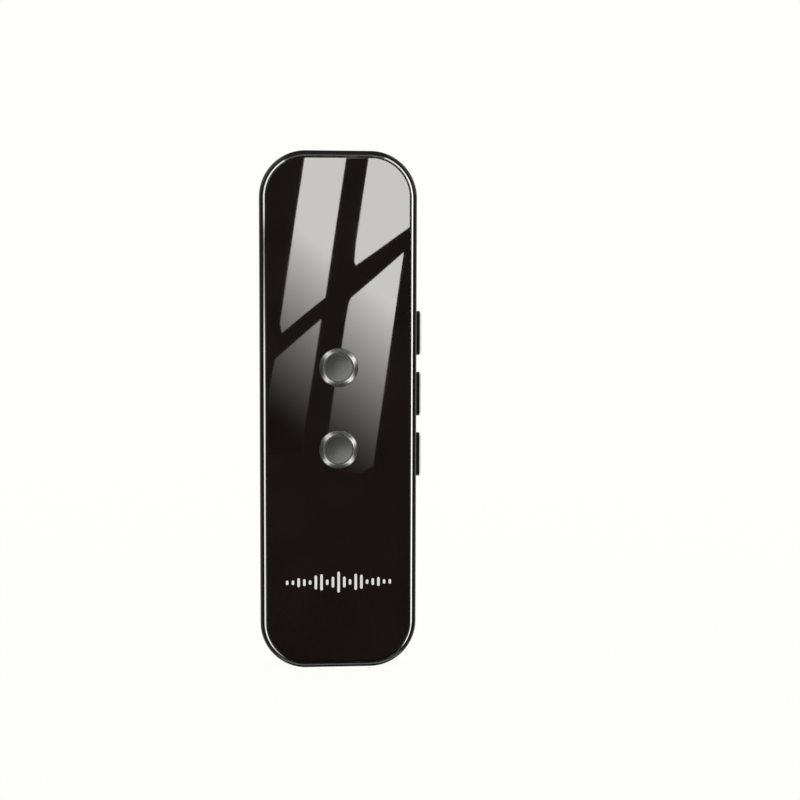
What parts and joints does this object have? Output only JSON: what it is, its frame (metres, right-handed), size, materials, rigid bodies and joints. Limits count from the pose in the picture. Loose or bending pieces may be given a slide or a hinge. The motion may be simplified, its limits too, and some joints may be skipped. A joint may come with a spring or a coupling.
{
  "type": "handheld voice translator",
  "caption": "Slim bar-shaped handheld voice translator with a glossy glass front, round metal front keys, side push keys and a perforated grey back.",
  "frame": {"origin": "centre of the flat bottom end that holds the charging port, on the device's middle plane", "axes": "+Z along the length to the top end, -Y out of the glass front, +Y out of the grey back, +X to the flank with the three side keys"},
  "size_m": [0.0445, 0.0113, 0.142],
  "materials": {
    "frame_black": "polished black",
    "trim_metal": "polished",
    "glass_black": "glass printed black behind",
    "adhesive_black": "matte",
    "cover_grey": "satin paint with a metal flake",
    "ring_metal": "turned",
    "cap_metal": "dark brushed",
    "carrier_plastic": "moulded",
    "pad_rubber": "moulded",
    "switch_plastic": "moulded",
    "dome_steel": "pressed",
    "side_key_black": "polished black",
    "bracket_steel": "pressed",
    "flex_amber": "film",
    "connector_white": "moulded",
    "board_green": "solder mask",
    "screw_steel": "plated",
    "chip_black": "moulded",
    "can_steel": "tinned",
    "ferrite_grey": "matte",
    "capacitor_tan": "matte",
    "antenna_white": "matte",
    "port_steel": "drawn",
    "microphone_metal": "drawn",
    "boot_rubber": "moulded",
    "cell_foil": "laminated foil",
    "protector_amber": "film tape",
    "tape_white": "foam",
    "wire_red": "sleeved",
    "speaker_plastic": "moulded",
    "magnet_steel": "plated",
    "mesh_black": "woven",
    "wire_black": "sleeved"
  },
  "bodies": {
    "device": {"front_frame": "frame_black", "trim_ring": "trim_metal", "front_glass": "glass_black", "glass_tape": "adhesive_black", "rear_cover": "cover_grey", "upper_key_ring": "ring_metal", "lower_key_ring": "ring_metal", "upper_switch_base": "switch_plastic", "lower_switch_base": "switch_plastic", "upper_switch_dome": "dome_steel", "lower_switch_dome": "dome_steel", "side_switch_bases": "switch_plastic", "top_side_dome": "dome_steel", "middle_side_dome": "dome_steel", "bottom_side_dome": "dome_steel", "side_key_bracket": "bracket_steel", "side_key_flex": "flex_amber", "flex_connector": "connector_white", "main_board": "board_green", "board_screws": "screw_steel", "processor": "chip_black", "memory_chip": "chip_black", "wireless_chip": "chip_black", "shield_can": "can_steel", "charger_chip": "chip_black", "amplifier_chip": "chip_black", "crystal": "can_steel", "power_inductor": "ferrite_grey", "board_capacitors": "capacitor_tan", "chip_antenna": "antenna_white", "usb_shell": "port_steel", "usb_tongue": "switch_plastic", "microphone": "microphone_metal", "microphone_boot": "boot_rubber", "battery_cell": "cell_foil", "battery_protector": "protector_amber", "battery_tape": "tape_white", "battery_wires": "wire_red", "battery_connector": "connector_white", "speaker_frame": "speaker_plastic", "speaker_magnet": "magnet_steel", "speaker_cone": "speaker_plastic", "speaker_gasket": "boot_rubber", "speaker_mesh": "mesh_black", "speaker_wires": "wire_black"},
    "upper_key": {"upper_key_cap": "cap_metal", "upper_key_carrier": "carrier_plastic", "upper_key_pad": "pad_rubber"},
    "lower_key": {"lower_key_cap": "cap_metal", "lower_key_carrier": "carrier_plastic", "lower_key_pad": "pad_rubber"},
    "top_side": {"top_side_key": "side_key_black", "top_side_plunger": "pad_rubber"},
    "middle_side": {"middle_side_key": "side_key_black", "middle_side_plunger": "pad_rubber"},
    "bottom_side": {"bottom_side_key": "side_key_black", "bottom_side_plunger": "pad_rubber"}
  },
  "joints": [
    {"name": "upper_key_press", "type": "slide", "parent": "device", "child": "upper_key", "axis": [0, 1, 0], "range_m": [0, 0.0004], "stiffness_N_per_m": 400, "springref_m": -0.0004, "deforming": ["upper_switch_dome"]},
    {"name": "lower_key_press", "type": "slide", "parent": "device", "child": "lower_key", "axis": [0, 1, 0], "range_m": [0, 0.0004], "stiffness_N_per_m": 400, "springref_m": -0.0004, "deforming": ["lower_switch_dome"]},
    {"name": "top_side_press", "type": "slide", "parent": "device", "child": "top_side", "axis": [-1, 0, 0], "range_m": [0, 0.0003], "stiffness_N_per_m": 400, "springref_m": -0.0004, "deforming": ["top_side_dome"]},
    {"name": "middle_side_press", "type": "slide", "parent": "device", "child": "middle_side", "axis": [-1, 0, 0], "range_m": [0, 0.0003], "stiffness_N_per_m": 400, "springref_m": -0.0004, "deforming": ["middle_side_dome"]},
    {"name": "bottom_side_press", "type": "slide", "parent": "device", "child": "bottom_side", "axis": [-1, 0, 0], "range_m": [0, 0.0003], "stiffness_N_per_m": 400, "springref_m": -0.0004, "deforming": ["bottom_side_dome"]}
  ]
}
